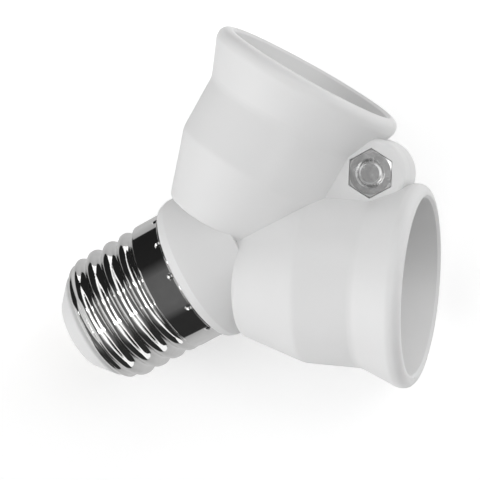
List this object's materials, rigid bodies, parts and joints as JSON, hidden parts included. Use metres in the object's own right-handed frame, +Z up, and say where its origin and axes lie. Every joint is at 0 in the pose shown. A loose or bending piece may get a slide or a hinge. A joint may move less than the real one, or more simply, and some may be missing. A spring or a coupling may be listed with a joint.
{
  "type": "lamp socket splitter",
  "caption": "Fork-shaped lamp socket splitter: one screw cap feeds two angled screw sockets in a clamped moulded body.",
  "frame": {"origin": "centre of the bounding box in X and Y, on the surface the part lies on", "axes": "+Z up with the splitter at rest on its rims and cap, nut upward; +X from the screw cap to the fork; +Y to the left socket"},
  "size_m": [0.0758, 0.0774, 0.0387],
  "materials": {
    "housing_plastic": "satin moulded white",
    "insulator_plastic": "satin",
    "base_plastic": "moulded",
    "cap_metal": "bright plated",
    "zinc_steel": "zinc plated",
    "sleeve_metal": "rolled sheet",
    "contact_brass": "stamped strip"
  },
  "bodies": {
    "body": {"top_housing": "housing_plastic", "bottom_housing": "housing_plastic", "clamp_bolt": "zinc_steel", "clamp_nut": "zinc_steel", "cap_shell": "cap_metal", "cap_insulator": "insulator_plastic", "cap_contact": "contact_brass", "left_socket_sleeve": "sleeve_metal", "right_socket_sleeve": "sleeve_metal", "left_socket_base": "base_plastic", "right_socket_base": "base_plastic", "left_tongue_rivet": "contact_brass", "right_tongue_rivet": "contact_brass", "left_sleeve_rivet": "contact_brass", "right_sleeve_rivet": "contact_brass", "live_bridge": "contact_brass", "live_lead": "contact_brass", "neutral_bridge": "contact_brass", "neutral_lead": "contact_brass"},
    "left_tongue": {"left_contact_tongue": "contact_brass"},
    "right_tongue": {"right_contact_tongue": "contact_brass"}
  },
  "joints": [
    {"name": "left_contact_flex", "type": "hinge", "parent": "body", "child": "left_tongue", "pos_m": [0.00734, 0.00383, 0.01717], "axis": [-0.112, 0, 0.9937], "range_deg": [0, 7], "stiffness_Nm_per_rad": 0.3},
    {"name": "right_contact_flex", "type": "hinge", "parent": "body", "child": "right_tongue", "pos_m": [0.00734, -0.00383, 0.01717], "axis": [0.112, 0, -0.9937], "range_deg": [0, 7], "stiffness_Nm_per_rad": 0.3}
  ]
}
